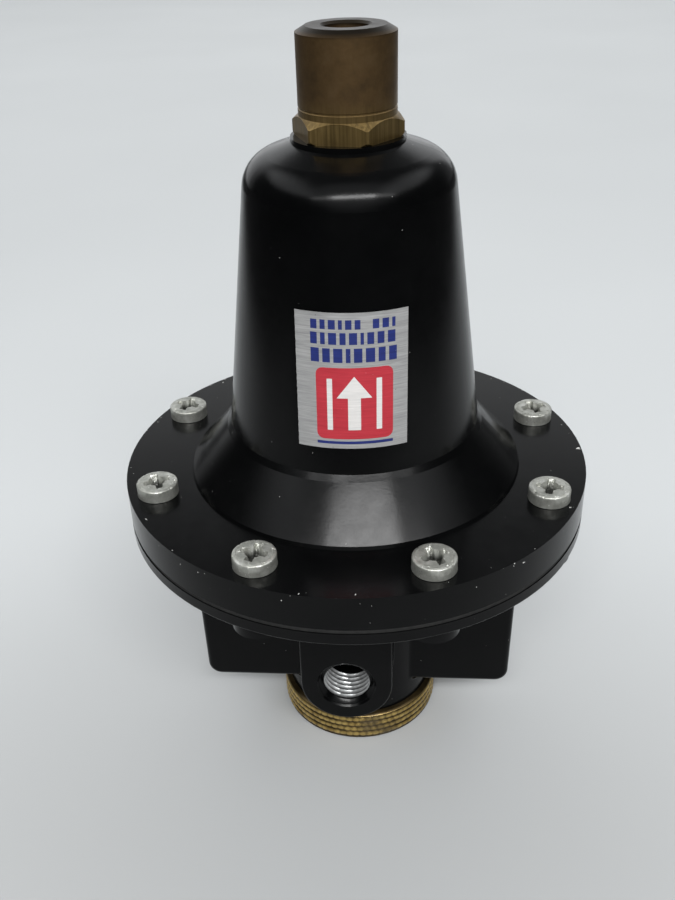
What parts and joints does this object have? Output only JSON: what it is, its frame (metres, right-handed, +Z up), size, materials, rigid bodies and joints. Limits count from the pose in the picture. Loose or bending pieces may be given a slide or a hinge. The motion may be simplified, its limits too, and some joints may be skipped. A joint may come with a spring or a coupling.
{
  "type": "air pressure regulator",
  "caption": "Diaphragm air pressure regulator: painted spring bonnet, brass adjusting bushing, through ports, gauge ports, knurled bottom plug and inner valve.",
  "frame": {"origin": "centre of the bottom plug's lower face", "axes": "+Z up along the bonnet, -X towards the inlet port, +X towards the outlet port, -Y towards the front gauge port and the label"},
  "size_m": [0.108, 0.108, 0.1708],
  "materials": {
    "black_paint": "semi-gloss black paint over die-cast aluminium",
    "brass_worn": "machined, browned with age",
    "brass_knurl": "knurled, dull gold",
    "brass_inner": "machined, clean",
    "zinc_screw": "dull zinc plate, worn",
    "steel": "zinc plated pressing",
    "spring_steel": "oiled spring wire",
    "rubber": "matte black",
    "foil": null,
    "bare_aluminium": "bare cut threads in the casting"
  },
  "bodies": {
    "housing": {"bonnet": "black_paint", "bonnet_bushing": "brass_worn", "body_casting": "black_paint", "aspirator_tube": "brass_inner", "stem_guide": "brass_inner", "stem_seal": "rubber", "seat_ring": "brass_inner", "valve_spring": "spring_steel", "bottom_plug": "brass_knurl", "plug_seal": "rubber", "diaphragm_rim": "rubber", "diaphragm_flex": "rubber", "flange_screw_1": "zinc_screw", "flange_screw_2": "zinc_screw", "flange_screw_3": "zinc_screw", "flange_screw_4": "zinc_screw", "flange_screw_5": "zinc_screw", "flange_screw_6": "zinc_screw", "flange_screw_7": "zinc_screw", "flange_screw_8": "zinc_screw", "label": "foil"},
    "upper_seat": {"spring_seat": "steel"},
    "adjuster": {"adjusting_screw": "steel", "thrust_ball": "steel"},
    "diaphragm": {"diaphragm_middle": "rubber", "upper_plate": "steel", "lower_plate": "steel", "relief_hub": "brass_inner", "hub_nut": "steel", "range_spring": "spring_steel"},
    "valve": {"valve_stem": "brass_inner", "valve_disc": "rubber"}
  },
  "joints": [
    {"name": "seat_travel", "type": "slide", "parent": "housing", "child": "upper_seat", "axis": [0, 0, 1], "range_m": [-0.01269, 0], "deforming": ["range_spring"]},
    {"name": "screw_turn", "type": "hinge", "parent": "upper_seat", "child": "adjuster", "pos_m": [0, 0, 0.15], "axis": [0, 0, 1], "range_deg": [-2520, 0]},
    {"name": "diaphragm_stroke", "type": "slide", "parent": "housing", "child": "diaphragm", "axis": [0, 0, 1], "range_m": [-0.002, 0], "stiffness_N_per_m": 3000, "springref_m": 0.002, "deforming": ["diaphragm_flex"]},
    {"name": "valve_lift", "type": "slide", "parent": "housing", "child": "valve", "axis": [0, 0, 1], "range_m": [-0.002, 0], "stiffness_N_per_m": 1000, "springref_m": 0.003, "deforming": ["valve_spring"]}
  ],
  "couplings": [
    {"joint": "screw_turn", "follows": "seat_travel", "rad_per_m": 3463.2},
    {"joint": "valve_lift", "follows": "diaphragm_stroke", "ratio": 1}
  ]
}
